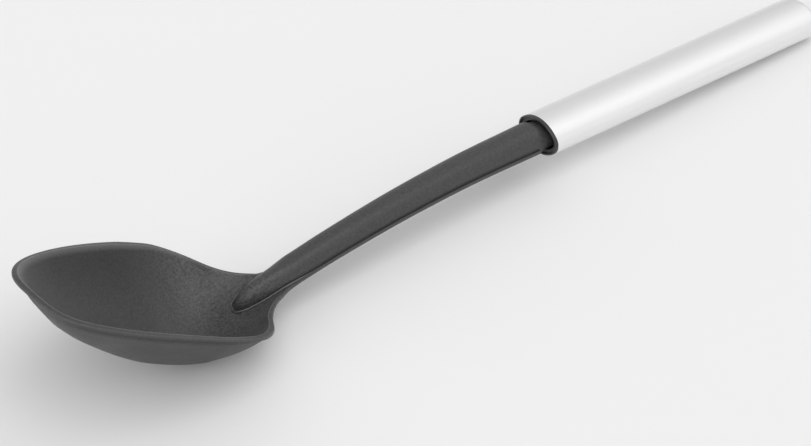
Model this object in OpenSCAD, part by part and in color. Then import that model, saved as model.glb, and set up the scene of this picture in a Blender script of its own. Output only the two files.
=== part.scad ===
// Serving spoon: a moulded dark nylon head on a flanged collar and an oval steel tube handle.
// It lies as it rests on a table: z is zero on the table, the bowl points to -X and the handle to +X.
// All lengths are in millimetres. Inside the file, x is counted from the front edge of the bowl.

/* [Bowl] */
// Length of the bowl from its front edge to where the neck starts, seen from above
bowl_len = 102; // [100:1:115]
// Width of the bowl over its rim
bowl_w = 64; // [54:0.2:74]
// Distance of the widest place from the front edge
widest_x = 55.3; // [50:0.1:58]
// Height of the rim at the front edge, above the table
front_h = 57.5; // [46:0.1:64]
// Height of the lowest place of the rim, just before the neck
heel_h = 12.1; // [11:0.1:14]
// Thickness of the bowl at its keel
bowl_wall = 2.4; // [1.8:0.1:3.4]

/* [Rim] */
// Width of the flat top of the rim
rim_flat_w = 1.9; // [1.6:0.1:2.8]
// Height of the rim's outer edge
rim_edge_h = 1.1; // [1:0.1:2]
// How far the rim stands out past the wall of the bowl
rim_overhang = 0.7; // [0.4:0.1:1.1]
// Softened corner of the rim
rim_soft = 0.25; // [0.1:0.05:0.4]

/* [Neck] */
// Length of the neck from the bowl to the end of its edge strip
neck_len = 105; // [80:1:130]
// Width of the neck at the bowl
neck_root_w = 11.4; // [10:0.2:13.6]
// Width of the neck at the collar
neck_end_w = 14.2; // [13.8:0.1:15]
// Height of the edge strip where the neck leaves the bowl
neck_root_h = 12.9; // [12:0.1:15]
// Rise of the neck's arch over a straight line from its root to its end
neck_arch_h = 2.7; // [1:0.1:5]
// Rise of the rounded back over the edge strip, at the bowl
back_root_h = 4.9; // [3.8:0.1:5.8]
// Rise of the rounded back over the edge strip, at the collar
back_end_h = 6; // [5.6:0.1:6.3]
// Bulge of the underside at the bowl
belly_root_h = 0.4; // [0.2:0.1:1.2]
// Bulge of the underside at the collar
belly_end_h = 3; // [2.9:0.1:3.4]
// Rise of the neck's end over the handle's axis
neck_lift = 0.25; // [0:0.05:0.4]
// Width of the ledge that the edge strip leaves beside the back
ledge_w = 0.35; // [0.25:0.05:0.5]
// Width of the fine seam between the ledge and the back
seam_w = 0.3; // [0.2:0.05:0.4]

/* [Tongue] */
// Length of the rounded tongue that the back of the neck runs out into, inside the bowl
tongue_len = 24; // [20:0.5:28]
// Length of the tongue's rounded nose
nose_len = 14; // [8:0.5:17]
// Height of the tongue over the bowl, behind its nose
tongue_h = 3.6; // [2.4:0.1:4.4]
// Width of the fine groove round the tongue
groove_w = 0.9; // [0.6:0.1:1.2]
// Depth of the fine groove round the tongue
groove_depth = 0.5; // [0.3:0.1:0.7]

/* [Stub and tang] */
// Length of plain stub that shows between the edge strip and the collar
stub_gap = 4.1; // [2:0.1:6]
// Width of the plain stub that enters the collar
stub_w = 12.4; // [11:0.1:12.6]
// Height of the stub
stub_h = 9.2; // [8.2:0.1:9.3]
// Radius of the stub's narrow sides
stub_side_r = 3.4; // [3:0.1:3.8]
// Width of the tang
tang_w = 9; // [7:0.1:10]
// Height of the tang
tang_h = 5.4; // [4.6:0.1:6]
// Radius of the tang's narrow sides
tang_side_r = 2; // [1.6:0.1:2.2]
// Length of the tang past the end of the stub
tang_len = 36; // [24:1:50]

/* [Collar] */
// Thickness of the flange that shows between the neck and the tube
flange_t = 1.2; // [1.1:0.1:2.4]
// Width of the lip round the collar's open mouth
lip_w = 0.6; // [0.5:0.05:0.9]
// Depth of the mouth behind the lip
lip_depth = 0.9; // [0.6:0.05:0.95]
// Wall of the sleeve round the pocket that the stub passes through
sleeve_wall = 0.6; // [0.5:0.05:0.7]
// Depth of the pocket, from the front of the collar
pocket_depth = 4.5; // [3:0.1:6]
// Length of stub held by the socket behind the pocket
socket_len = 8; // [6:0.5:11]
// Length of the collar's sleeve inside the tube
sleeve_len = 20; // [18:0.5:26]

/* [Handle] */
// Length of the steel tube along its axis
tube_len = 129; // [110:1:150]
// Width of the tube
tube_w = 19.5; // [19:0.1:21]
// Height of the tube
tube_h = 13.3; // [13.1:0.1:14.6]
// Radius of the tube's narrow sides
tube_side_r = 4.8; // [4.4:0.1:5.4]
// Wall of the tube
tube_wall = 0.8; // [0.6:0.05:0.9]
// Radius of the closed end's edge
end_r = 2.6; // [1.6:0.1:3.6]
// Slope of the handle down to the table, in degrees
handle_slope = 4; // [3:0.1:5]
// Clearance between pieces that slide into each other
fit_gap = 0.15; // [0.1:0.01:0.2]

/* [Hidden] */
$fn = 96;

// Outline in front of the widest place: a superellipse with these two powers
front_length_power = 1.43;
front_width_power = 3.54;
// Outline behind the widest place: share of the way to the neck, share of the width left over the neck
heel_plan_shares = [
    [0, 1], [0.14, 0.984], [0.25, 0.95], [0.355, 0.846], [0.45, 0.688],
    [0.545, 0.44], [0.65, 0.235], [0.76, 0.1], [0.88, 0.015], [1, 0],
];
// Side view of the rim: share of the bowl's length, share of the drop from the front to the heel
rim_side_shares = [[0, 1], [0.14, 0.856], [0.37, 0.6], [0.64, 0.275], [0.8, 0.068], [0.91, 0]];
// Keel of the bowl from the front: share of the bowl's length, share of the front height
keel_front_shares = [
    [0, 0.965], [0.08, 0.705], [0.2, 0.458], [0.335, 0.237],
    [0.47, 0.086], [0.54, 0.03], [0.6, 0],
];
// Keel behind its lowest place: share of the bowl's length, share of the height under the neck's root
keel_back_shares = [
    [0.6, 0], [0.65, 0.06], [0.705, 0.29], [0.765, 0.56], [0.85, 0.82], [0.92, 0.92], [1, 1],
];
// Arch of the neck: share of its length, share of its rise
neck_arch_shares = [[0, 0], [0.14, 0.5], [0.36, 0.93], [0.52, 1], [0.72, 0.82], [1, 0]];
// Power of the bowl's cross-section, and of the rounded back's, where 2 is an ellipse
section_power = 1.8;
back_power = 2.7;
// Place of the groove's deepest line, as a share of its width
groove_share = 0.6;
// Radius of an oval's wide arcs, as a share of the radius that would be tangent to the side arcs
arc_share = 0.995;

// Steps of the mesh: round the front, across the wall, across the floor, over the back
front_steps = 18;
wall_steps = 11;
floor_steps = 11;
back_steps = 5;
// Steps of the mesh along the bowl: to the keel's lowest place, up to the groove, round the nose,
// beside the tongue and along the neck
keel_steps = 2;
heel_steps = 6;
nose_steps = 5;
tongue_steps = 8;
neck_steps = 12;

bowl_half = bowl_w / 2;
root_half = neck_root_w / 2;
lowest_rim_x = bowl_len * rim_side_shares[5][0];
keel_x = bowl_len * keel_front_shares[6][0];
strip_end_x = bowl_len + neck_len;
tongue_tip_x = bowl_len - tongue_len;
groove_tip_x = tongue_tip_x - groove_w;
nose_end_x = tongue_tip_x + nose_len;
tongue_half = root_half - ledge_w - seam_w;
root_under_h = neck_root_h - rim_edge_h - belly_root_h;

collar_front_x = strip_end_x + stub_gap;
tube_mouth_x = collar_front_x + flange_t * cos(handle_slope);
tube_mouth_h = (tube_len - end_r) * sin(handle_slope) + (tube_h / 2 - end_r) * cos(handle_slope) + end_r;
tube_end_x = tube_mouth_x + (tube_len - end_r) * cos(handle_slope)
    + (tube_h / 2 - end_r) * sin(handle_slope) + end_r;
collar_front_h = tube_mouth_h + flange_t * sin(handle_slope);
// The middle of the neck's end section, and its edge strip
neck_axis_h = tube_mouth_h + (tube_mouth_x - strip_end_x) * tan(handle_slope) + neck_lift;
strip_end_h = neck_axis_h - (back_end_h - rim_edge_h - belly_end_h) / 2;
stub_end = pocket_depth + socket_len;
overrun = 2 * fit_gap;

// Smooth curve through a table of [place, value] rows
function slope_at(rows, i) =
    let(a = max(i - 1, 0), b = min(i + 1, len(rows) - 1))
    (rows[b][1] - rows[a][1]) / (rows[b][0] - rows[a][0]);
function row_before(rows, x, i = 0) =
    i >= len(rows) - 2 || x < rows[i + 1][0] ? i : row_before(rows, x, i + 1);
function curve(rows, x) =
    let(
        i = row_before(rows, x),
        step = rows[i + 1][0] - rows[i][0],
        t = max(0, min(1, (x - rows[i][0]) / step)),
        a = rows[i][1],
        b = rows[i + 1][1],
        sa = slope_at(rows, i) * step,
        sb = slope_at(rows, i + 1) * step
    )
    a * (1 + 2 * t) * pow(1 - t, 2) + sa * t * pow(1 - t, 2)
    + b * t * t * (3 - 2 * t) - sb * t * t * (1 - t);
function blend(a, b, t) = a + (b - a) * max(0, min(1, t));

// Half widths in plan, measured to the outline or moved inwards by an inset
function front_half(x, inset) =
    let(s = max(0, min(1, (widest_x - x) / (widest_x - inset))))
    (bowl_half - inset) * pow(1 - pow(s, front_length_power), 1 / front_width_power);
function back_half(x) =
    x < bowl_len
    ? root_half + (bowl_half - root_half) * curve(heel_plan_shares, (x - widest_x) / (bowl_len - widest_x))
    : blend(root_half, neck_end_w / 2, (x - bowl_len) / neck_len);
function back_lean(x) = (back_half(x + ledge_w) - back_half(x - ledge_w)) / (2 * ledge_w);
function half_w(x, inset) =
    x < widest_x ? front_half(x, inset) : back_half(x) - inset * sqrt(1 + pow(back_lean(x), 2));

// Rounded nose of a given length, and the half widths of the tongue and of the groove round it
function nose(x, reach) = sqrt(max(0, 1 - pow(max(0, (nose_end_x - x) / reach), 2)));
function groove_at(x) = blend(groove_w, seam_w, (x - nose_end_x) / (bowl_len - nose_end_x));
function depth_at(x) = blend(groove_depth, groove_depth / 2, (x - nose_end_x) / (bowl_len - nose_end_x));
function tongue_half_w(x) =
    x < bowl_len ? tongue_half * nose(x, nose_len) : back_half(x) - ledge_w - seam_w;
function groove_half_w(x) =
    x < bowl_len ? (tongue_half + groove_at(x)) * nose(x, nose_len + groove_w) : back_half(x) - ledge_w;
function floor_open(x) = half_w(x, rim_flat_w) > groove_half_w(x) + ledge_w;
function flat_half_w(x) = floor_open(x) ? half_w(x, rim_flat_w) : groove_half_w(x);

// Heights of the rim and edge strip, of the keel under the bowl and neck, and of the floor over the keel
function rim_h(x) =
    x < lowest_rim_x
    ? heel_h + (front_h - heel_h) * curve(rim_side_shares, x / bowl_len)
    : x < bowl_len
    ? heel_h + (neck_root_h - heel_h) * pow((x - lowest_rim_x) / (bowl_len - lowest_rim_x), 2)
    : blend(neck_root_h, strip_end_h, (x - bowl_len) / neck_len)
        + neck_arch_h * curve(neck_arch_shares, (x - bowl_len) / neck_len);
function keel_h(x) =
    x < bowl_len
    ? min(
        x < keel_x
        ? front_h * curve(keel_front_shares, x / bowl_len)
        : root_under_h * curve(keel_back_shares, x / bowl_len),
        rim_h(x) - rim_edge_h - belly_root_h / 4
    )
    : rim_h(x) - rim_edge_h - blend(belly_root_h, belly_end_h, (x - bowl_len) / neck_len);
function keel_lean(x) = (keel_h(x + ledge_w) - keel_h(x - ledge_w)) / (2 * ledge_w);
function floor_keel_h(x) = min(rim_h(x), keel_h(x) + bowl_wall * sqrt(1 + pow(keel_lean(x), 2)));

// Outer wall, inner floor and crest of the back at a place
function wall_h(x, y) =
    let(under = rim_h(x) - rim_edge_h, q = min(1, y / max(half_w(x, rim_overhang), rim_soft)))
    keel_h(x) + (under - keel_h(x)) * pow(q, section_power);
function floor_h(x, y) =
    let(q = min(1, y / max(flat_half_w(x), rim_soft)))
    floor_keel_h(x) + (rim_h(x) - floor_keel_h(x)) * pow(q, section_power);
function crest_line_h(x) =
    let(nose_top = floor_keel_h(nose_end_x) + tongue_h, root_top = neck_root_h + back_root_h)
    nose_top + (root_top - nose_top) * (x - nose_end_x) / (bowl_len - nose_end_x);
function crest_h(x, base) =
    x < bowl_len
    ? base + (crest_line_h(x) - base) * nose(x, nose_len)
    : rim_h(x) + blend(back_root_h, back_end_h, (x - bowl_len) / neck_len);

// Oval of four arcs: radius of its wide arcs, where they meet the side arcs, and its reach at an angle
function wide_r(w, h, side_r) =
    arc_share * (pow(w / 2 - side_r, 2) + pow(h / 2, 2) - pow(side_r, 2)) / (h - 2 * side_r);
function meet_x(w, h, side_r) =
    let(side_x = w / 2 - side_r)
    side_x + side_r * sin(atan(side_x / (wide_r(w, h, side_r) - h / 2)));
function oval_reach(w, h, side_r, angle) =
    let(
        big_r = wide_r(w, h, side_r),
        deep = big_r - h / 2,
        side_x = w / 2 - side_r,
        wide = sqrt(pow(big_r, 2) - pow(deep * cos(angle), 2)) - deep * abs(sin(angle)),
        room = pow(side_r, 2) - pow(side_x * sin(angle), 2),
        side = side_x * cos(angle) + sqrt(max(0, room))
    )
    room > 0 && side * cos(angle) >= meet_x(w, h, side_r) ? min(wide, side) : wide;

// A rib is [angle round the front, x]. In front of the widest place the ribs fan out from one pole.
function spot(rib, inset, share) =
    rib[0] > 0
    ? [
        widest_x - (widest_x - inset) * pow(sin(rib[0]), 2 / front_length_power) * share,
        (bowl_half - inset) * pow(cos(rib[0]), 2 / front_width_power) * share,
    ]
    : [rib[1], half_w(rib[1], inset) * share];
function floor_spot(rib, share) =
    rib[0] > 0
    ? spot(rib, rim_flat_w, share)
    : [rib[1], blend(groove_half_w(rib[1]), flat_half_w(rib[1]), share)];
function on_rim(p, drop) = [p[0], p[1], rim_h(p[0]) - drop];

// Half of a section: up the wall, over the rim, down the floor, through the groove and over the back
function wall_points(rib) = [
    for (j = [0:wall_steps])
        let(p = spot(rib, rim_overhang, j / wall_steps))
        j == wall_steps ? on_rim(p, rim_edge_h) : [p[0], p[1], wall_h(p[0], p[1])],
];
function rim_points(rib) = [
    on_rim(spot(rib, 0, 1), rim_edge_h),
    on_rim(spot(rib, 0, 1), rim_soft),
    on_rim(spot(rib, rim_soft, 1), 0),
    on_rim(floor_spot(rib, 1), 0),
];
function floor_points(rib) = [
    for (j = [1:floor_steps])
        let(p = floor_spot(rib, 1 - j / floor_steps))
        [p[0], p[1], floor_h(p[0], p[1])],
];
function back_points(rib) =
    let(
        x = rib[1],
        inner = tongue_half_w(x),
        base = floor_h(x, groove_half_w(x)) - depth_at(x),
        crest = crest_h(x, base)
    )
    [
        [x, blend(inner, groove_half_w(x), groove_share), base],
        for (j = [0:back_steps])
            let(angle = 90 * j / back_steps)
            [
                x,
                inner * pow(cos(angle), 2 / back_power),
                base + (crest - base) * pow(sin(angle), 2 / back_power),
            ],
    ];
function half_section(rib) = concat(wall_points(rib), rim_points(rib), floor_points(rib), back_points(rib));

// Places of the sections behind the widest place
heel_places = concat(
    [for (i = [1:keel_steps]) blend(widest_x, keel_x, i / keel_steps)],
    [for (i = [1:heel_steps]) blend(keel_x, groove_tip_x, i / heel_steps)],
    [nose_end_x - (nose_len + groove_w) * cos(90 / nose_steps), tongue_tip_x],
    [for (i = [1:nose_steps]) nose_end_x - nose_len * cos(90 * i / nose_steps)],
    [for (i = [1:tongue_steps]) blend(nose_end_x, bowl_len, i / tongue_steps)],
    [for (i = [1:neck_steps]) blend(bowl_len, strip_end_x, i / neck_steps)]
);

// Sections are numbered from the front edge, negative on the other side of the middle plane.
// After the last section of the neck come its blunt end, the stub's two ends and the tang's two ends.
neck_last = front_steps + len(heel_places);
last = neck_last + 5;
flat_j = wall_steps + 4;
floor_j = flat_j + floor_steps;
back_j = floor_j + 2;
crest_j = back_j + back_steps;
row = crest_j + 1;

function rib_of(s) =
    abs(s) <= front_steps
    ? [90 * (1 - abs(s) / front_steps), widest_x]
    : [0, heel_places[min(abs(s), neck_last) - front_steps - 1]];
function side_of(s) = s < 0 ? -1 : 1;

// The edge strip stops short in a small step, and the rounded rest runs on as the stub and the tang
neck_end = half_section([0, strip_end_x]);
blunt_end = [
    for (j = [0:crest_j])
        let(strip = j >= wall_steps && j <= back_j)
        [
            strip_end_x + ledge_w,
            neck_end[strip ? back_j : j][1],
            strip ? strip_end_h - rim_edge_h / 2 : neck_end[j][2],
        ],
];
function oval_section(w, h, side_r, along) = [
    for (p = blunt_end)
        let(angle = atan2(p[2] - neck_axis_h, p[1]), reach = oval_reach(w, h, side_r, angle))
        [
            collar_front_x + along * cos(handle_slope) + reach * sin(angle) * sin(handle_slope),
            reach * cos(angle),
            collar_front_h - along * sin(handle_slope) + reach * sin(angle) * cos(handle_slope),
        ],
];
function end_section(i) =
    i == 1 ? blunt_end
    : i == 2 ? oval_section(stub_w, stub_h, stub_side_r, 0)
    : i == 3 ? oval_section(stub_w, stub_h, stub_side_r, stub_end)
    : i == 4 ? oval_section(tang_w, tang_h, tang_side_r, stub_end)
    : oval_section(tang_w, tang_h, tang_side_r, stub_end + tang_len);

head_points = [
    for (
        s = [-last:last],
        p = abs(s) <= neck_last ? half_section(rib_of(s)) : end_section(abs(s) - neck_last)
    )
        [p[0], p[1] * side_of(s), p[2]],
];

// Point of a section that takes the place of point j where the floor, the groove or the back has no width
function kept_j(s, j) =
    let(x = rib_of(s)[1], front = abs(s) <= front_steps)
    abs(s) > neck_last ? (j >= wall_steps && j <= back_j ? back_j : j)
    : front || x <= groove_tip_x ? min(j, floor_j)
    : x <= tongue_tip_x ? min(j, back_j)
    : !floor_open(x) && j > flat_j && j <= floor_j ? flat_j
    : j;
function centre_j(s) =
    let(x = rib_of(s)[1], front = abs(s) <= front_steps)
    abs(s) > neck_last ? crest_j
    : front || x <= groove_tip_x ? floor_j
    : x <= tongue_tip_x ? back_j
    : crest_j;
function index_of(s, j) =
    let(k = kept_j(s, j), middle = k == 0 || k == centre_j(s))
    !middle ? (s + last) * row + k
    : abs(s) <= front_steps ? last * row + k
    : (abs(s) + last) * row + k;
function whole(t) = t[0] != t[1] && t[1] != t[2] && t[2] != t[0];
head_skin = [
    for (s = [-last:last - 1], j = [0:crest_j - 1])
        let(
            a = index_of(s, j),
            b = index_of(s + 1, j),
            c = index_of(s + 1, j + 1),
            d = index_of(s, j + 1)
        )
        for (t = s < 0 ? [[a, b, d], [b, c, d]] : [[a, b, c], [a, c, d]])
            if (whole(t)) t,
];
head_end = [
    for (j = [1:crest_j - 1], side = [-1, 1])
        let(
            a = index_of(side * last, 0),
            b = index_of(side * last, j),
            c = index_of(side * last, j + 1),
            t = side > 0 ? [a, c, b] : [a, b, c]
        )
        if (whole(t)) t,
];

// Oval of four arcs, larger or smaller by a growth all round
module oval(w, h, side_r, growth) {
    big_r = wide_r(w, h, side_r);
    intersection() {
        translate([0, h / 2 - big_r])
            circle(r = big_r + growth);
        translate([0, big_r - h / 2])
            circle(r = big_r + growth);
        union() {
            square([2 * meet_x(w, h, side_r), 2 * h], center = true);
            for (side = [-1, 1])
                translate([side * (w / 2 - side_r), 0])
                    circle(r = side_r + growth);
        }
    }
}

// Round bar whose far edge is rolled over
module round_bar(r, edge_r, start, end) {
    translate([0, 0, start])
        rotate_extrude() {
            square([r, end - edge_r - start]);
            square([r - edge_r, end - start]);
            translate([r - edge_r, end - edge_r - start])
                intersection() {
                    circle(r = edge_r);
                    square(edge_r);
                }
        }
}

// Oval bar whose far edge is rolled over, smaller all round by an inset
module oval_bar(inset, start) {
    big_r = wide_r(tube_w, tube_h, tube_side_r);
    flat_x = meet_x(tube_w, tube_h, tube_side_r);
    end = tube_len - inset;
    intersection() {
        translate([0, tube_h / 2 - big_r, 0])
            round_bar(big_r - inset, end_r - inset, start, end);
        translate([0, big_r - tube_h / 2, 0])
            round_bar(big_r - inset, end_r - inset, start, end);
        union() {
            translate([-flat_x, -tube_h, start])
                cube([2 * flat_x, 2 * tube_h, end - start]);
            for (side = [-1, 1])
                translate([side * (tube_w / 2 - tube_side_r), 0, 0])
                    round_bar(tube_side_r - inset, end_r - inset, start, end);
        }
    }
}

// Puts local Z on the handle's axis, starting at the front of the collar, with local Y upwards
module on_axis() {
    translate([collar_front_x - tube_end_x / 2, 0, collar_front_h])
        rotate([0, 90 + handle_slope, 0])
            rotate([0, 0, 90])
                children();
}

module spoon_head() {
    color("#3a3b3d")
        translate([-tube_end_x / 2, 0, 0])
            polyhedron(points = head_points, faces = concat(head_skin, head_end), convexity = 6);
}

module collar() {
    sleeve_inset = tube_wall + fit_gap;
    color("#1c1c1d")
        on_axis()
            difference() {
                union() {
                    linear_extrude(flange_t)
                        oval(tube_w, tube_h, tube_side_r, 0);
                    linear_extrude(flange_t + sleeve_len)
                        oval(tube_w, tube_h, tube_side_r, -sleeve_inset);
                }
                translate([0, 0, -overrun])
                    linear_extrude(lip_depth + overrun)
                        oval(tube_w, tube_h, tube_side_r, -lip_w);
                translate([0, 0, -overrun])
                    linear_extrude(pocket_depth + overrun)
                        oval(tube_w, tube_h, tube_side_r, -sleeve_inset - sleeve_wall);
                translate([0, 0, -overrun])
                    linear_extrude(stub_end + overrun)
                        oval(stub_w, stub_h, stub_side_r, fit_gap);
                linear_extrude(flange_t + sleeve_len + overrun)
                    oval(tang_w, tang_h, tang_side_r, fit_gap);
            }
}

module handle_tube() {
    color("#d4d6d8")
        on_axis()
            translate([0, 0, flange_t])
                difference() {
                    oval_bar(0, 0);
                    oval_bar(tube_wall, -overrun);
                }
}

spoon_head();
collar();
handle_tube();
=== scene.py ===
from math import sin, cos, tan, atan, atan2, sqrt, radians, pi

import bmesh
import bpy
from mathutils import Matrix, Vector


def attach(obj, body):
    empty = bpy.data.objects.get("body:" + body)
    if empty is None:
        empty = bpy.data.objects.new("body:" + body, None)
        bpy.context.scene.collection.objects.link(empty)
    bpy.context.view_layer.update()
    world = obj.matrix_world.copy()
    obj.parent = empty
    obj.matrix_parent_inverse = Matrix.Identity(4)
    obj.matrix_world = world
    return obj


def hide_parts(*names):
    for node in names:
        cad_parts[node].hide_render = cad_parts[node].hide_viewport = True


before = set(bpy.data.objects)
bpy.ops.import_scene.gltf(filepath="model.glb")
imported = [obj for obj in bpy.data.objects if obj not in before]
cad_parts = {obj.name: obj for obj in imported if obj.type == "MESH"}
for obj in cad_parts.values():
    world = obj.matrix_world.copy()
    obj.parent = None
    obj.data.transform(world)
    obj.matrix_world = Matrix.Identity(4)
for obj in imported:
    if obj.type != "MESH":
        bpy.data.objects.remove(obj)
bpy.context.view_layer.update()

MM = 0.001
scene = bpy.context.scene

# ------------------------------------------------- sizes in millimetres, as in the CAD model
# x is counted from the front edge of the bowl towards the handle, y from the middle, z from the table

# bowl
bowl_len = 102.0            # from the front edge to where the neck starts
bowl_w = 64.0
widest_x = 55.3
front_h = 57.5
heel_h = 12.1               # lowest place of the rim, just before the neck
bowl_wall = 2.4             # at the keel
front_length_power = 1.43   # outline in front of the widest place: a superellipse with these two powers
front_width_power = 3.54
section_power = 1.8         # rise of a section from the keel to the rim

# rim
rim_flat_w = 1.9
rim_edge_h = 1.1
rim_overhang = 0.7

# neck, from the bowl to the end of its edge strip
neck_len = 105.0
neck_root_w = 11.4
neck_end_w = 14.2
neck_root_h = 12.9
neck_arch_h = 2.7
neck_lift = 0.25            # rise of the neck's end over the handle's axis
back_end_h = 6.0            # rise of the rounded back over the edge strip, at the collar
belly_root_h = 0.4          # bulge of the underside
belly_end_h = 3.0
ledge_w = 0.35
seam_w = 0.3

# tongue: the end of the neck's back inside the bowl
tongue_len = 24.0
nose_len = 14.0
groove_w = 0.9

# stub that enters the collar, and tang inside the tube
stub_gap = 4.1
stub_w, stub_h, stub_side_r = 12.4, 9.2, 3.4
tang_w, tang_h, tang_side_r = 9.0, 5.4, 2.0
tang_len = 36.0

# collar
flange_t = 1.2
lip_w = 0.6
lip_depth = 0.9
pocket_depth = 4.5
socket_len = 8.0
sleeve_len = 20.0

# handle
tube_len = 129.0
tube_w, tube_h, tube_side_r = 19.5, 13.3, 4.8
tube_wall = 0.8
end_r = 2.6
fit_gap = 0.15
slope = radians(4)
arc_share = 0.995           # how full the wide arcs of the ovals are

# share of the way from the widest place to the neck, share of the width left over the neck
heel_plan = [(0, 1), (0.14, 0.984), (0.25, 0.95), (0.355, 0.846), (0.45, 0.688),
             (0.545, 0.44), (0.65, 0.235), (0.76, 0.1), (0.88, 0.015), (1, 0)]
# share of the bowl's length, share of the rim's drop from the front to the heel
rim_side = [(0, 1), (0.14, 0.856), (0.37, 0.6), (0.64, 0.275), (0.8, 0.068), (0.91, 0)]
# share of the bowl's length, share of the front height; then share of the height under the neck's root
keel_front = [(0, 0.965), (0.08, 0.705), (0.2, 0.458), (0.335, 0.237), (0.47, 0.086), (0.54, 0.03), (0.6, 0)]
keel_back = [(0.6, 0), (0.65, 0.06), (0.705, 0.29), (0.765, 0.56), (0.85, 0.82), (0.92, 0.92), (1, 1)]
# share of the neck's length, share of its arch
neck_arch = [(0, 0), (0.14, 0.5), (0.36, 0.93), (0.52, 1), (0.72, 0.82), (1, 0)]

# places that follow from the sizes
bowl_half, root_half = bowl_w / 2, neck_root_w / 2
lowest_rim_x, keel_x = bowl_len * rim_side[-1][0], bowl_len * keel_front[-1][0]
strip_end_x = bowl_len + neck_len
tongue_tip_x = bowl_len - tongue_len
groove_tip_x, nose_end_x = tongue_tip_x - groove_w, tongue_tip_x + nose_len
root_under_h = neck_root_h - rim_edge_h - belly_root_h
collar_front_x = strip_end_x + stub_gap
tube_mouth_x = collar_front_x + flange_t * cos(slope)
tube_mouth_h = (tube_len - end_r) * sin(slope) + (tube_h / 2 - end_r) * cos(slope) + end_r
tube_end_x = tube_mouth_x + (tube_len - end_r) * cos(slope) + (tube_h / 2 - end_r) * sin(slope) + end_r
collar_front_h = tube_mouth_h + flange_t * sin(slope)
neck_axis_h = tube_mouth_h + (tube_mouth_x - strip_end_x) * tan(slope) + neck_lift
strip_end_h = neck_axis_h - (back_end_h - rim_edge_h - belly_end_h) / 2
stub_end = pocket_depth + socket_len

# ------------------------------------------------- forms finer than the CAD model's, in millimetres
# rim: rounded corners, a flat that narrows into the neck's ledge, a hollow under its edge
corner_r, corner_share = 0.28, 0.3      # radius of the corners, and the most of the flat that it takes
rim_level_inset = 0.3                   # the rim's level is read this far inside its outline
rim_end_w, rim_narrow_x, rim_narrow_len = 0.8, 74, 20
undercut_w, undercut_neck_w, undercut_fade_x, undercut_fade_len = 1.4, 0.25, 56, 16
undercut_edge, undercut_rise = 0.15, 0.35   # rounding of the undercut's bottom: width, share of its depth
inner_drop = 0.7                        # drop of the hollow's edge under the flat, in corner radii
meet_power = 5                          # how close to the rim the hollow's side rises to meet the level flat
# rim's outer edge from below, as (inset, drop under the flat, painted highlight)
RIM_EDGE = ((0.14, rim_edge_h, 0), (0.04, rim_edge_h - 0.05, 0), (0, rim_edge_h - 0.18, 0))
# the two corners as (inset, drop, painted highlight), in corner radii; the inner one is counted from the hollow's
# edge
OUTER_CORNER = ((0, 1, 0.1), (0.3, 0.3, 0.25), (1, 0, 0.2), (1.6, 0, 0))
INNER_CORNER = ((1.5, 0, 0), (1, 0, 0.7), (0.3, 0.2, 1.0))

# neck: a rounder back and a wider ledge
crown_root_h, crown_end_h, crown_power = 5.6, 6.85, 2.3
neck_ledge_w = 0.6

# tongue: its back, and the raised lip and the seam round it
tongue_crown_h, tongue_power, nose_power = 5.2, 2.0, 2.5
tongue_groove_half, tongue_seam_w, tongue_widen_x = 4.6, 0.35, 95
tongue_lip_w, tongue_lip_h = 0.4, 0.5
nose_seam_depth, seam_depth = 0.6, 0.2  # at the nose, and where the tongue meets the neck
nose_taper_w = 2                        # the lip fades where the tongue's half-width is under this
lip_thin_x, lip_end_x = 100, 110.0      # the lip thins out into the neck's ledge between these
# height of the lip along the tongue, as (x, height)
lip_rows = [(76, 9.3), (79.5, 10.0), (83, 10.9), (87, 11.6), (91.4, 12.25), (94, 12.6), (97.7, 13.1), (102, 13.4)]
# across the lip, as (share from the seam to the lip's foot, share of its rise, painted highlight)
LIP_POINTS = ((0.85, 0.8, 0.5), (0.6, 1.0, 1.0), (0, 1, 0.8))
# across the seam, as (share of the way from the tongue to the lip, share of the lip's height over the seam)
SEAM_POINTS = ((0.75, 0.3), (0.45, 0))

# hollow of the bowl
lean_reach = 2.0                        # reach over which the outline's lean is measured
even_reach, EVEN_STEPS = 4.5, 4         # the outline's sharp turn at the heel is averaged over this reach
even_from_x, even_to_x, even_fade = 58, 98, 6
even_power = 4                          # how close to the rim the averaged outline gives way to the real one
floor_fade_x, floor_fade_len = 46, 10   # where the floor passes from the even wall to its own rows
heel_power, heel_from_x, heel_fade_len = 2.3, 66, 22
min_half_w, min_under_half_w = 0.25, 4  # least half-widths that shares are taken of
min_step = 0.02                         # nearer to the lip than this, the hollow's edge joins it
# painted highlight along the hollow's edge under the rim's flat
hollow_edge_highlight = 0.8
# painted shade on the steep sides, from a share of the way to the rim on, between the tip and the heel
shade_share, shade_share_len = 0.6, 0.3
shade_tip_x, shade_tip_len, shade_heel_x, shade_heel_len = 6, 18, 72, 24
# the coarser grain with its painted glints fades in behind the first place and out before the second
grain_from_x, grain_from_len, grain_to_x, grain_to_len = 52, 20, 100, 10
# height of the hollow's middle towards the heel, as (x, height)
floor_rows = [(44, 9.96), (50, 6.75), (56, 4.55), (60, 3.8), (64, 3.85), (68, 4.6), (72, 5.95), (76, 7.8),
              (80, 9.5), (84, 10.55), (88, 11.15), (92, 11.6), (96, 12.0), (102, 12.9)]

# number of steps round a half-section: underside, hollow, lip and seam, back of the neck
WALL, FLOOR, LIP, BACK = 26, 26, len(LIP_POINTS) + len(SEAM_POINTS), 18
# index of the hollow's first point, after the underside, two points of the undercut and the rim
FIRST_FLOOR = WALL + 1 + 2 + len(RIM_EDGE) + len(OUTER_CORNER) + len(INNER_CORNER)
# number of rows along the head: fan in front, hollow, tongue behind its nose, neck
FRONT_ROWS, HOLLOW_ROWS, TONGUE_ROWS, NECK_ROWS = 44, 20, 26, 50
# degrees round the groove's tip and round the tongue's nose at which rows lie
GROOVE_TIP_ANGLES, NOSE_ANGLES = (7, 12, 17), range(9, 91, 9)

WELD = 1e-6     # in metres: points nearer than this are one point


# ------------------------------------------------- curves and surfaces of the head
def clamp(v, low, high):
    return max(low, min(high, v))


def blend(a, b, t):
    return a + (b - a) * clamp(t, 0, 1)


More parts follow.
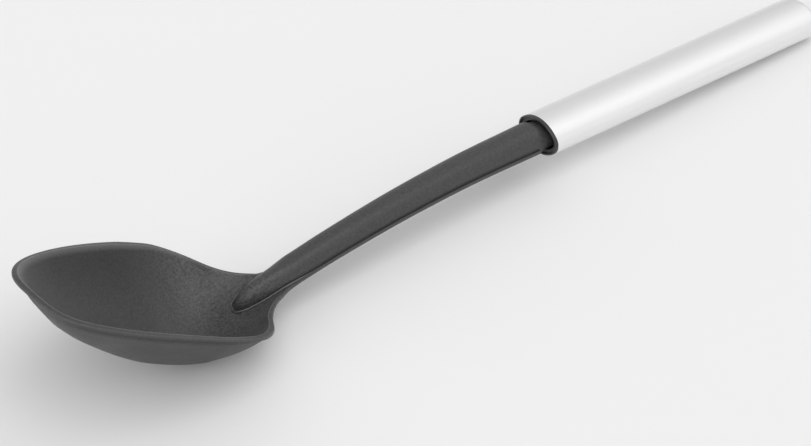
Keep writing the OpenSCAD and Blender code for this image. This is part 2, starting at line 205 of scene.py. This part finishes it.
def ease(t):
    """0 to 1 with a soft start and a soft end."""
    t = clamp(t, 0, 1)
    return t * t * (3 - 2 * t)


def curve(rows, x):
    """Smooth curve through a table of (place, value) rows."""
    def lean(i):
        a, b = rows[max(i - 1, 0)], rows[min(i + 1, len(rows) - 1)]
        return (b[1] - a[1]) / (b[0] - a[0])
    i = 0
    while i < len(rows) - 2 and x >= rows[i + 1][0]:
        i += 1
    step = rows[i + 1][0] - rows[i][0]
    t = clamp((x - rows[i][0]) / step, 0, 1)
    a, b, sa, sb = rows[i][1], rows[i + 1][1], lean(i) * step, lean(i + 1) * step
    return (a * (1 + 2 * t) * (1 - t) ** 2 + sa * t * (1 - t) ** 2
            + b * t * t * (3 - 2 * t) - sb * t * t * (1 - t))


def front_half(x, inset):
    """Half-width in front of the widest place, inside an inset."""
    s = clamp((widest_x - x) / (widest_x - inset), 0, 1)
    return (bowl_half - inset) * (1 - s ** front_length_power) ** (1 / front_width_power)


def back_half(x):
    """Half-width behind the widest place, and along the neck."""
    if x < bowl_len:
        return root_half + (bowl_half - root_half) * curve(heel_plan, (x - widest_x) / (bowl_len - widest_x))
    return blend(root_half, neck_end_w / 2, (x - bowl_len) / neck_len)


def half_w(x, inset):
    """Half-width of the outline at a place, inside an inset measured square to the outline."""
    if x < widest_x:
        return front_half(x, inset)
    lean = (back_half(x + lean_reach) - back_half(x - lean_reach)) / (2 * lean_reach)
    return back_half(x) - inset * sqrt(1 + lean ** 2)


def nose(x, reach):
    """Share of the tongue's full size at a place on its nose: 0 at the tip, 1 behind the nose."""
    return sqrt(max(0, 1 - max(0, (nose_end_x - x) / reach) ** nose_power))


def groove_half_w(x):
    """Half-width out to the seam between the tongue, or the neck's back, and the lip or ledge beside it."""
    if x < bowl_len:
        widen = (x - tongue_widen_x) / (bowl_len - tongue_widen_x)
        return blend(tongue_groove_half, root_half - neck_ledge_w, widen) * nose(x, nose_len + groove_w)
    return back_half(x) - neck_ledge_w


def tongue_half_w(x):
    """Half-width of the tongue, or of the neck's rounded back."""
    if x < bowl_len:
        widen = (x - tongue_widen_x) / (bowl_len - tongue_widen_x)
        half = blend(tongue_groove_half - tongue_seam_w, root_half - neck_ledge_w - seam_w, widen)
        return half * nose(x, nose_len)
    return back_half(x) - neck_ledge_w - seam_w


def lip_half_w(x):
    """Outer edge of the raised lip that runs on from the neck's ledge round the tongue."""
    wide = tongue_lip_w * (1 - clamp((x - lip_thin_x) / (lip_end_x - lip_thin_x), 0, 1))
    return groove_half_w(x) + wide * min(1, groove_half_w(x) / nose_taper_w)


def lip_h(x):
    """Height of the lip's top, which comes down to the neck's ledge."""
    if x < bowl_len:
        return curve(lip_rows, x)
    left = 1 - clamp((x - bowl_len) / (lip_end_x - bowl_len), 0, 1)
    return rim_h(x) + (lip_rows[-1][1] - neck_root_h) * left ** 2


def rim_flat(x):
    """The rim's flat narrows where it runs into the neck's ledge."""
    return blend(rim_flat_w, rim_end_w, (x - rim_narrow_x) / rim_narrow_len)


def flat_half_w(x):
    """Half-width of the hollow, which stays outside the tongue's lip."""
    wide, lip = half_w(x, rim_flat(x)), lip_half_w(x)
    return wide if wide > lip + min_step else lip


def rim_h(x):
    """Height of the rim's flat, and of the neck's ledge."""
    if x < lowest_rim_x:
        return heel_h + (front_h - heel_h) * curve(rim_side, x / bowl_len)
    if x < bowl_len:
        return heel_h + (neck_root_h - heel_h) * ((x - lowest_rim_x) / (bowl_len - lowest_rim_x)) ** 2
    t = (x - bowl_len) / neck_len
    return blend(neck_root_h, strip_end_h, t) + neck_arch_h * curve(neck_arch, t)


def keel_h(x):
    """Height of the underside's middle."""
    if x >= bowl_len:
        return rim_h(x) - rim_edge_h - blend(belly_root_h, belly_end_h, (x - bowl_len) / neck_len)
    keel = front_h * curve(keel_front, x / bowl_len) if x < keel_x else root_under_h * curve(keel_back, x / bowl_len)
    return min(keel, rim_h(x) - rim_edge_h - belly_root_h / 4)


def floor_line_h(x):
    """Height of the hollow's middle over the keel with a wall of even thickness."""
    lean = (keel_h(x + ledge_w) - keel_h(x - ledge_w)) / (2 * ledge_w)
    return keel_h(x) + bowl_wall * sqrt(1 + lean ** 2)


def floor_keel_h(x):
    """Height of the hollow's middle: a wall thickness over the underside, then an even rise to the heel."""
    line = floor_line_h(x) if x < floor_fade_x + floor_fade_len else 0
    return blend(line, curve(floor_rows, x), ease((x - floor_fade_x) / floor_fade_len))


def wall_h(x, y):
    """Height of the underside."""
    q = min(1, y / max(half_w(x, rim_overhang), min_half_w))
    return keel_h(x) + (rim_h(x) - rim_edge_h - keel_h(x)) * q ** section_power


def even_half_w(x):
    """The hollow's half-width with the sharp turn of its plan at the heel evened out."""
    reach = even_reach * clamp((x - even_from_x) / even_fade, 0, 1) * clamp((even_to_x - x) / even_fade, 0, 1)
    return (sum(flat_half_w(x + reach * k / EVEN_STEPS) for k in range(-EVEN_STEPS, EVEN_STEPS + 1))
            / (2 * EVEN_STEPS + 1))


def floor_h(x, y):
    """Height of the hollow's floor, flatter across at the heel than the underside, with a steeper side to its rim."""
    q = min(1, y / max(flat_half_w(x), min_half_w))
    q = blend(min(1, y / max(even_half_w(x), min_half_w)), q, q ** even_power)
    power = blend(section_power, heel_power, ease((x - heel_from_x) / heel_fade_len))
    return floor_keel_h(x) + (rim_h(x) - floor_keel_h(x)) * q ** power


def crest_h(x, base):
    """Height of the middle of the neck's back, or of the tongue's."""
    if x >= bowl_len:
        return rim_h(x) + blend(crown_root_h, crown_end_h, (x - bowl_len) / neck_len)
    nose_top = lip_h(nose_end_x) + tongue_crown_h - tongue_lip_h
    line = nose_top + (neck_root_h + crown_root_h - nose_top) * (x - nose_end_x) / (bowl_len - nose_end_x)
    return base + (line - base) * nose(x, nose_len)


def spot(rib, inset, share):
    """Place in plan on a rib (angle round the front, x): ribs in front of the widest place fan out from one pole."""
    if rib[0] > 0:
        return (widest_x - (widest_x - inset) * sin(rib[0]) ** (2 / front_length_power) * share,
                (bowl_half - inset) * max(0, cos(rib[0])) ** (2 / front_width_power) * share)
    return (rib[1], half_w(rib[1], inset) * share)


def half_section(rib):
    """Points (x, y, z, painted highlight) of half a section, from the keel round the rim to the middle of the top."""
    x = rib[1]
    fan = rib[0] > 0
    rim_top = rim_h(spot(rib, rim_level_inset, 1)[0])
    pts = []

    # the underside ends in a hollow under the rim, shallower at the heel and along the neck
    under = blend(undercut_w, undercut_neck_w, (x - undercut_fade_x) / undercut_fade_len)
    edge = 1 - under / max(half_w(x, rim_overhang), min_under_half_w)
    for j in range(WALL + 1):
        px, py = spot(rib, rim_overhang, edge * j / WALL)
        pts.append((px, py, wall_h(px, py), 0.0))
    for inset, drop in ((under - undercut_edge, undercut_rise * under), (under, 0)):
        pts.append((*spot(rib, rim_overhang + inset, 1), rim_top - rim_edge_h - drop, 0.0))

    # the rim with its rounded corners
    flat = rim_flat_w if fan else back_half(x) - flat_half_w(x)
    r = min(corner_r, flat * corner_share)
    for inset, drop, highlight in RIM_EDGE + tuple((i * r, d * r, w) for i, d, w in OUTER_CORNER):
        pts.append((*spot(rib, inset, 1), rim_top - drop, highlight))
    for i, d, highlight in INNER_CORNER:
        px, py = spot(rib, flat - i * r, 1) if fan else (x, back_half(x) - (flat - i * r))
        pts.append((px, py, rim_top - d * r, highlight))

    # the hollow; the rim's flat is level across, so its side rises to meet it
    outer = lip_half_w(x)
    drop = inner_drop * r
    meet = rim_top - rim_h(spot(rib, rim_flat_w, 1)[0]) - drop
    for j in range(FLOOR + 1):
        share = 1 - j / FLOOR
        px, py = spot(rib, rim_flat_w, share) if fan else (x, blend(outer, flat_half_w(x), share))
        height = min(floor_h(px, py) + meet * share ** meet_power, rim_top - drop)
        pts.append((px, py, height, hollow_edge_highlight if j == 0 else 0.0))
    if fan or x <= groove_tip_x:
        return pts + [pts[-1]] * (LIP + BACK + 1)

    # the lip, the seam and the back of the tongue or the neck
    inner, groove = tongue_half_w(x), groove_half_w(x)
    behind_nose = (x - nose_end_x) / (bowl_len - nose_end_x)
    floor_at = floor_h(x, outer)
    rise = max(0, lip_h(x) - floor_at) * min(1, groove / nose_taper_w)
    base = floor_at + rise - blend(nose_seam_depth, seam_depth, behind_nose)
    for share, lift, highlight in LIP_POINTS:
        pts.append((x, blend(groove, outer, share), floor_at + lift * rise, highlight))
    for share, left in SEAM_POINTS:
        pts.append((x, blend(inner, groove, share), base + left * (floor_at + rise - base), 0.0))
    crest = crest_h(x, base)
    power = blend(tongue_power, crown_power, behind_nose)
    for j in range(BACK + 1):
        a = pi / 2 * j / BACK
        across, up = max(0, cos(a)) ** (2 / power), sin(a) ** (2 / power)
        pts.append((x, inner * across, base + (crest - base) * up, 0.0) if x > tongue_tip_x else (x, 0, base, 0.0))
    return pts


def spread(a, b, n):
    """n even steps from a, which is left out, to b."""
    return [a + (b - a) * i / n for i in range(1, n + 1)]


def oval_arcs(w, h, side_r):
    """Centre of the side arcs, radius of the wide arcs and depth of their centre, for a four-arc oval."""
    side_x = w / 2 - side_r
    big_r = arc_share * (side_x ** 2 + (h / 2) ** 2 - side_r ** 2) / (h - 2 * side_r)
    return side_x, big_r, big_r - h / 2


def oval_reach(w, h, side_r, angle):
    """Distance from the centre of a four-arc oval to its edge at an angle."""
    side_x, big_r, deep = oval_arcs(w, h, side_r)
    meet = side_x + side_r * sin(atan(side_x / deep))
    wide = sqrt(big_r ** 2 - (deep * cos(angle)) ** 2) - deep * abs(sin(angle))
    room = side_r ** 2 - (side_x * sin(angle)) ** 2
    side = side_x * cos(angle) + sqrt(max(0, room))
    return min(wide, side) if room > 0 and side * cos(angle) >= meet else wide


def head_rows():
    """Half-sections from the front of the bowl to the end of the tang, with as many points in each."""
    ribs = [(pi / 2 * (1 - i / FRONT_ROWS), widest_x) for i in range(FRONT_ROWS)] + [(0, widest_x)]
    # rows crowd where the groove and the tongue begin
    places = (spread(widest_x, groove_tip_x - 0.001, HOLLOW_ROWS)
              + [groove_tip_x + 0.02]
              + [nose_end_x - (nose_len + groove_w) * cos(radians(a)) for a in GROOVE_TIP_ANGLES]
              + [tongue_tip_x, tongue_tip_x + 0.01]
              + [nose_end_x - nose_len * cos(radians(a)) for a in NOSE_ANGLES]
              + spread(nose_end_x, bowl_len, TONGUE_ROWS) + spread(bowl_len, strip_end_x, NECK_ROWS))
    rows = [half_section(r) for r in ribs] + [half_section((0, x)) for x in places]

    # blunt end of the neck: its rim is drawn together to a line
    end = rows[-1]
    lip_a, lip_b = WALL + 1, len(end) - 1 - BACK
    blunt = [(strip_end_x + ledge_w, end[lip_b][1], strip_end_h - rim_edge_h / 2, 0.0) if lip_a <= j <= lip_b
             else (strip_end_x + ledge_w, p[1], p[2], 0.0) for j, p in enumerate(end)]
    rows.append(blunt)

    # stub and tang: the same points moved out to an oval across the handle's axis
    def oval(w, h, side_r, along):
        out = []
        for p in blunt:
            a = atan2(p[2] - neck_axis_h, p[1])
            reach = oval_reach(w, h, side_r, a)
            out.append((collar_front_x + along * cos(slope) + reach * sin(a) * sin(slope), reach * cos(a),
                        collar_front_h - along * sin(slope) + reach * sin(a) * cos(slope), 0.0))
        return out
    stub, tang = (stub_w, stub_h, stub_side_r), (tang_w, tang_h, tang_side_r)
    first = oval(*stub, 0)
    # two rows on the way from the blunt end to the stub
    for t in (0.35, 0.7):
        rows.append([tuple(a[k] + (b[k] - a[k]) * t for k in range(4)) for a, b in zip(blunt, first)])
    return rows + [first, oval(*stub, stub_end), oval(*tang, stub_end), oval(*tang, stub_end + tang_len)]


def smooth(rows, start, end, first, last, pull, rounds=70, fade_in=6, fade_out=9, tiny=1e-6):
    """Evens a surface out along its length, row to row; pull(j) is how far the j-th point of a row takes part."""
    for _ in range(rounds):
        old = [list(r) for r in rows]
        for i in range(start + 1, end):
            ends = min(1, (i - start) / fade_in, (end - i) / fade_out)
            for j in range(first, last):
                a, b, c = old[i - 1][j], old[i][j], old[i + 1][j]
                da, dc = abs(b[0] - a[0]) + tiny, abs(c[0] - b[0]) + tiny
                mean = (a[2] * dc + c[2] * da) / (da + dc)
                rows[i][j] = (b[0], b[1], b[2] + 0.5 * ends * pull(j) * (mean - b[2]), b[3])


def smooth_bowl(rows, before_x=68, hollow_row=2, under_row=28, rim_fade=5, keel_fade=8):
    """Takes the crease out of the bowl's sides at its widest place, in the hollow and on the underside."""
    last = FIRST_FLOOR + FLOOR
    end = max(i for i, r in enumerate(rows) if r[last][0] < before_x and r[0][0] < bowl_len)
    smooth(rows, hollow_row, end, FIRST_FLOOR, last, lambda j: min(1, (j - FIRST_FLOOR) / rim_fade))
    smooth(rows, under_row, end, 1, WALL, lambda j: min(1, j / keel_fade, (WALL - j) / rim_fade))


# ------------------------------------------------- meshes
def in_frame(p):
    """From millimetres counted from the bowl's front edge to the frame's metres."""
    return ((p[0] - tube_end_x / 2) * MM, p[1] * MM, p[2] * MM)


def to_object(name, bm, material, sharp):
    """Welds a mesh, shades it smooth up to an angle in degrees and puts it in the scene."""
    bmesh.ops.remove_doubles(bm, verts=bm.verts, dist=WELD)
    bmesh.ops.recalc_face_normals(bm, faces=bm.faces)
    me = bpy.data.meshes.new(name)
    bm.to_mesh(me)
    bm.free()
    me.shade_smooth()
    me.set_sharp_from_angle(angle=radians(sharp))
    me.materials.append(material)
    ob = bpy.data.objects.new(name, me)
    scene.collection.objects.link(ob)
    return ob


def painted_side_shade(x, j):
    """How much painted shade the hollow's steep side takes at the j-th point of a row: most near the rim, not at the
    tip and heel.
    """
    share = 1 - (j - FIRST_FLOOR) / FLOOR
    if not 0 <= share <= 1:
        return 0.0
    return (clamp((share - shade_share) / shade_share_len, 0, 1)
            * clamp((x - shade_tip_x) / shade_tip_len, 0, 1) * clamp((shade_heel_x - x) / shade_heel_len, 0, 1))


def heel_grain_and_glints(x):
    """How much of the coarser grain, with its lighter specks that paint glints, a place takes: most at the hollow's
    heel and on the tongue.
    """
    return clamp((x - grain_from_x) / grain_from_len, 0, 1) * clamp((grain_to_x - x) / grain_to_len, 0, 1)


def make_head(material):
    """Bowl, neck, stub and tang as one skin, with its painted edge highlights, its painted shade and its coarser
    grain with painted glints as attributes.
    """
    half = head_rows()
    smooth_bowl(half)
    rows = [[(p[0], -p[1], *p[2:]) for p in r] for r in reversed(half[1:])] + half
    bm = bmesh.new()
    edge_highlight, under, grain_and_glints = (bm.verts.layers.float.new(name) for name in ("edge_highlight", "under", "grain_and_glints"))
    grid = [[bm.verts.new(in_frame(p)) for p in r] for r in rows]
    for row, points in zip(grid, rows):
        for j, (v, p) in enumerate(zip(row, points)):
            v[edge_highlight] = p[3]
            # painted shade: full on the underside and in the hollow under the rim, in part on the hollow's steep
            # sides
            v[under] = 1.0 if j <= WALL + 1 else painted_side_shade(p[0], j)
            v[grain_and_glints] = heel_grain_and_glints(p[0])
    for a, b in zip(grid, grid[1:]):
        for j in range(len(a) - 1):
            bm.faces.new((a[j], b[j], b[j + 1], a[j + 1]))
    bmesh.ops.remove_doubles(bm, verts=bm.verts, dist=WELD)
    # the only open edges left are those at the end of the tang
    bmesh.ops.contextual_create(bm, geom=[e for e in bm.edges if e.is_boundary])
    return to_object("spoon_head_moulding", bm, material, 38)


def oval_ring(growth, along, narrow=0.0, quarter=24, side_share=0.45):
    """A ring of the tube's oval, larger or smaller all round by a growth, narrower from side to side by a share, at a
    place along the handle's axis. Its side arcs take a share of the points."""
    side_x, big_r, deep = oval_arcs(tube_w, tube_h, tube_side_r)
    turn = atan(side_x / deep)
    # a quarter runs from the narrow side to the middle of the wide side
    first = []
    for i in range(quarter):
        a = i / quarter
        if a < side_share:
            n = (pi / 2 - turn) * a / side_share
            x, y = side_x + (tube_side_r + growth) * cos(n), (tube_side_r + growth) * sin(n)
        else:
            n = pi / 2 - turn * (1 - (a - side_share) / (1 - side_share))
            x, y = (big_r + growth) * cos(n), (big_r + growth) * sin(n) - deep
        first.append((x * (1 - narrow), y))
    first.append((0.0, tube_h / 2 + growth))
    pts = first[:-1] + [(-x, y) for x, y in reversed(first[1:])]
    pts += [(-x, -y) for x, y in first[:-1]] + [(x, -y) for x, y in reversed(first[1:])]
    return [in_frame((collar_front_x + along * cos(slope) + y * sin(slope), x,
                      collar_front_h - along * sin(slope) + y * cos(slope))) for x, y in pts]


def join_rings(bm, grid):
    """Faces between each ring and the next."""
    for a, b in zip(grid, grid[1:]):
        for j in range(len(a)):
            bm.faces.new((a[j], a[(j + 1) % len(a)], b[(j + 1) % len(a)], b[j]))


def make_collar(material):
    sleeve = -(tube_wall + fit_gap)
    socket = -3.4
    # the pocket round the neck fits it closely above and below, with room at its sides
    pocket = (stub_h - tube_h) / 2 + 0.1
    # rings as (growth, place along the axis, share narrower, painted highlight)
    rings = [
        # flange and its rounded lip
        (0, flange_t, 0, 0), (0, 0.3, 0, 0), (-0.02, 0.16, 0, 0.1), (-0.1, 0.05, 0, 0.3), (-0.22, 0, 0, 0.3),
        (-lip_w + 0.2, 0, 0, 0.6), (-lip_w + 0.08, 0.03, 0, 1), (-lip_w, 0.12, 0, 0.9), (-lip_w - 0.02, 0.26, 0, 0),
        # dished mouth
        (-lip_w - 0.04, lip_depth - 0.08, 0, 0), (-lip_w - 0.12, lip_depth, 0, 0),
        # pocket and socket
        (pocket + 0.12, lip_depth, 0.03, 0), (pocket, lip_depth + 0.1, 0.04, 0), (pocket, pocket_depth, 0.04, 0),
        (socket, pocket_depth, 0, 0), (socket, flange_t + sleeve_len, 0, 0),
        # sleeve
        (sleeve, flange_t + sleeve_len, 0, 0), (sleeve, flange_t, 0, 0)]
    bm = bmesh.new()
    edge_highlight = bm.verts.layers.float.new("edge_highlight")
    grid = [[bm.verts.new(p) for p in oval_ring(*r[:3])] for r in rings]
    for ring, r in zip(grid, rings):
        for v in ring:
            v[edge_highlight] = r[3]
    join_rings(bm, grid + grid[:1])
    return to_object("flanged_collar", bm, material, 30)


def make_tube(material):
    cap = -4.4      # growth of the last ring, inside which the end is flat
    inner_r = end_r - tube_wall
    # rings as (growth, place from the tube's mouth)
    end_arc = [(-end_r * (1 - cos(radians(a))), tube_len - end_r + end_r * sin(radians(a))) for a in range(0, 91, 6)]
    inner_arc = [(-tube_wall - inner_r * (1 - cos(radians(a))), tube_len - end_r + inner_r * sin(radians(a)))
                 for a in range(90, -1, -15)]
    outer_rings = [(-0.12, 0), (0, 0.12)] + [(0, d) for d in range(8, 126, 8)] + end_arc + [(cap, tube_len)]
    inner_rings = [(cap, tube_len - tube_wall)] + inner_arc + [(-tube_wall, 0.0)]
    bm = bmesh.new()
    outer_grid = [[bm.verts.new(p) for p in oval_ring(g, d + flange_t)] for g, d in outer_rings]
    inner_grid = [[bm.verts.new(p) for p in oval_ring(g, d + flange_t)] for g, d in inner_rings]
    for grid in (outer_grid, inner_grid, [inner_grid[-1], outer_grid[0]]):
        join_rings(bm, grid)
    bm.faces.new(outer_grid[-1])
    bm.faces.new(inner_grid[0])
    return to_object("oval_steel_tube", bm, material, 40)


# ------------------------------------------------- materials
NOISE_LOW, NOISE_HIGH = 0.35, 0.65      # the part of a noise that a tint or a range is spread over


def grey(v):
    """A dark plastic's grey, very slightly blue."""
    return (v, v, v + 0.001)


def new_material(name, color, rough, metal=0.0, spec=0.5):
    """A material, its node tree and its shader."""
    m = bpy.data.materials.new(name)
    m.use_nodes = True
    nt = m.node_tree
    b = nt.nodes["Principled BSDF"]
    b.inputs["Base Color"].default_value = (*color, 1)
    b.inputs["Roughness"].default_value = rough
    b.inputs["Metallic"].default_value = metal
    b.inputs["Specular IOR Level"].default_value = spec
    return m, nt, b


def noise(nt, scale, detail=2.0, rough=0.5, stretch=None):
    """Noise in the object's own metres, stretched along the axes if asked."""
    co = nt.nodes.new("ShaderNodeTexCoord")
    n = nt.nodes.new("ShaderNodeTexNoise")
    n.inputs["Scale"].default_value = scale
    n.inputs["Detail"].default_value = detail
    n.inputs["Roughness"].default_value = rough
    src = co.outputs["Object"]
    if stretch:
        mp = nt.nodes.new("ShaderNodeMapping")
        mp.inputs["Scale"].default_value = stretch
        nt.links.new(src, mp.inputs["Vector"])
        src = mp.outputs["Vector"]
    nt.links.new(src, n.inputs["Vector"])
    return n.outputs["Fac"]


def mapped(nt, value, low, high):
    """Spreads a noise over a range of values."""
    r = nt.nodes.new("ShaderNodeMapRange")
    r.inputs["From Min"].default_value = NOISE_LOW
    r.inputs["From Max"].default_value = NOISE_HIGH
    r.inputs["To Min"].default_value = low
    r.inputs["To Max"].default_value = high
    nt.links.new(value, r.inputs["Value"])
    return r.outputs["Result"]


def tint(nt, value, dark, light):
    """Spreads a noise over a range of colours."""
    r = nt.nodes.new("ShaderNodeValToRGB")
    r.color_ramp.elements[0].position = NOISE_LOW
    r.color_ramp.elements[1].position = NOISE_HIGH
    r.color_ramp.elements[0].color = (*dark, 1)
    r.color_ramp.elements[1].color = (*light, 1)
    nt.links.new(value, r.inputs["Fac"])
    return r.outputs["Color"]


def bump(nt, b, value, distance, strength):
    n = nt.nodes.new("ShaderNodeBump")
    n.inputs["Strength"].default_value = strength
    n.inputs["Distance"].default_value = distance
    nt.links.new(value, n.inputs["Height"])
    nt.links.new(n.outputs["Normal"], b.inputs["Normal"])


def mix_by_mesh(nt, name, kind, a, b):
    """Mixes from a to b by one of the mesh's own attributes; b is another node's output or a plain value."""
    at = nt.nodes.new("ShaderNodeAttribute")
    at.attribute_name = name
    mix = nt.nodes.new("ShaderNodeMix")
    mix.data_type = kind
    nt.links.new(at.outputs["Fac"], mix.inputs["Factor"])
    nt.links.new(a, mix.inputs["A"])
    if isinstance(b, bpy.types.NodeSocket):
        nt.links.new(b, mix.inputs["B"])
    else:
        mix.inputs["B"].default_value = b
    return mix.outputs["Result"]


def add_edge_highlight(nt, b, color, light, rough, shine):
    """Mixes a lighter colour, a painted highlight, and a smoother finish in along the edges that the mesh marks."""
    nt.links.new(mix_by_mesh(nt, "edge_highlight", "RGBA", color, (*light, 1)), b.inputs["Base Color"])
    nt.links.new(mix_by_mesh(nt, "edge_highlight", "FLOAT", rough, shine), b.inputs["Roughness"])


def nylon():
    m, nt, b = new_material("grained_nylon", grey(0.037), 0.42)
    grain = noise(nt, 1000, detail=3, rough=0.7)
    glint_specks = noise(nt, 1250)
    cloud = noise(nt, 60, detail=3)
    # the grain at the hollow's heel is coarser than in its middle, and its lighter specks are painted glints
    hollow = mix_by_mesh(nt, "grain_and_glints", "RGBA", tint(nt, grain, grey(0.031), grey(0.048)),
                         tint(nt, glint_specks, grey(0.026), grey(0.068)))
    # painted shade: the underside, the hollow under the rim and the upper steep sides are darker than the polished
    # hollow
    color = mix_by_mesh(nt, "under", "RGBA", hollow, tint(nt, grain, grey(0.014), grey(0.026)))
    # painted highlight along the edges of the rim, the hollow and the lip, with a smoother finish there
    add_edge_highlight(nt, b, color, grey(0.135), mapped(nt, cloud, 0.38, 0.46), 0.32)
    bump(nt, b, grain, distance=0.00024, strength=0.9)
    return m


def black_plastic():
    m, nt, b = new_material("black_plastic", grey(0.026), 0.4)
    fine = noise(nt, 1400)
    # painted highlight along the edges of the collar's flange and lip, with a smoother finish there
    add_edge_highlight(nt, b, tint(nt, fine, grey(0.022), grey(0.030)), grey(0.07), mapped(nt, fine, 0.36, 0.44), 0.3)
    bump(nt, b, fine, distance=0.00002, strength=0.6)
    return m


def steel():
    m, nt, b = new_material("satin_steel", (0.86, 0.86, 0.86), 0.42, metal=1.0)
    # brushed along the handle: a fine grain, and broad streaks in the shine
    grain = noise(nt, 1.0, detail=4, rough=0.6, stretch=(45, 2600, 2600))
    wide = noise(nt, 1.0, stretch=(8, 260, 260))
    nt.links.new(tint(nt, grain, (0.85, 0.85, 0.85), (0.87, 0.87, 0.87)), b.inputs["Base Color"])
    nt.links.new(mapped(nt, wide, 0.39, 0.45), b.inputs["Roughness"])
    bump(nt, b, grain, distance=0.000006, strength=0.4)
    return m


# ------------------------------------------------- pieces
nylon_mat, black_mat, steel_mat = nylon(), black_plastic(), steel()

head = make_head(nylon_mat)
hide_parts("spoon_head")
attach(head, "root")

collar = make_collar(black_mat)
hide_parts("collar")
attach(collar, "root")

tube = make_tube(steel_mat)
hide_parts("handle_tube")
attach(tube, "root")

# ------------------------------------------------- floor, light and camera
FLOOR_HALF = 12         # half the floor's width, in metres
WORLD_STRENGTH = 0.55
LIGHT_SPREAD = 50       # degrees; broad, for soft shadows
# name, azimuth, elevation, share: 1 straight from above would light a white floor to white by itself
LIGHTS = (("key", 240, 62, 0.290), ("near_right", 300, 62, 0.120), ("handle_end", 0, 35, 0.084),
          ("far_side", 60, 35, 0.043), ("bowl_end_low", 180, 12, 0.400), ("near_low", 300, 12, 0.079))
# camera solved from the photograph: focal length in its pixels, width of the photograph, place and directions
FOCAL_PX, PHOTO_PX, SENSOR_W = 3640, 811, 36
CAMERA_PLACE = (-0.46462 - tube_end_x / 2 * MM, -0.73318, 0.79274)
CAMERA_RIGHT = (0.76685, -0.64183, 0.0025)
CAMERA_AHEAD = (0.49756, 0.59200, -0.63401)

floor_me = bpy.data.meshes.new("floor")
bm = bmesh.new()
bmesh.ops.create_grid(bm, x_segments=1, y_segments=1, size=FLOOR_HALF)
bm.to_mesh(floor_me)
bm.free()
floor = bpy.data.objects.new("floor", floor_me)
scene.collection.objects.link(floor)
floor_mat = new_material("pale_floor", (0.80, 0.80, 0.80), 0.9, spec=0.0)[0]
floor_me.materials.append(floor_mat)

world = bpy.data.worlds.new("studio")
scene.world = world
world.use_nodes = True
bg = world.node_tree.nodes["Background"]
bg.inputs["Color"].default_value = (1, 1, 1, 1)
bg.inputs["Strength"].default_value = WORLD_STRENGTH

for name, azimuth, elevation, share in LIGHTS:
    data = bpy.data.lights.new(name, "SUN")
    data.energy = pi * share
    data.angle = radians(LIGHT_SPREAD)
    lamp = bpy.data.objects.new(name, data)
    a, e = radians(azimuth), radians(elevation)
    lamp.rotation_euler = Vector((cos(e) * cos(a), cos(e) * sin(a), sin(e))).to_track_quat("Z", "Y").to_euler()
    scene.collection.objects.link(lamp)

cam_data = bpy.data.cameras.new("camera")
cam_data.sensor_fit = "HORIZONTAL"
cam_data.sensor_width = SENSOR_W
cam_data.lens = FOCAL_PX / PHOTO_PX * SENSOR_W
cam = bpy.data.objects.new("camera", cam_data)
right, ahead = Vector(CAMERA_RIGHT).normalized(), Vector(CAMERA_AHEAD).normalized()
up = right.cross(ahead).normalized()
cam.matrix_world = Matrix((*((right[k], up[k], -ahead[k], CAMERA_PLACE[k]) for k in range(3)), (0, 0, 0, 1)))
scene.collection.objects.link(cam)
scene.camera = cam
scene.view_settings.view_transform = "Standard"
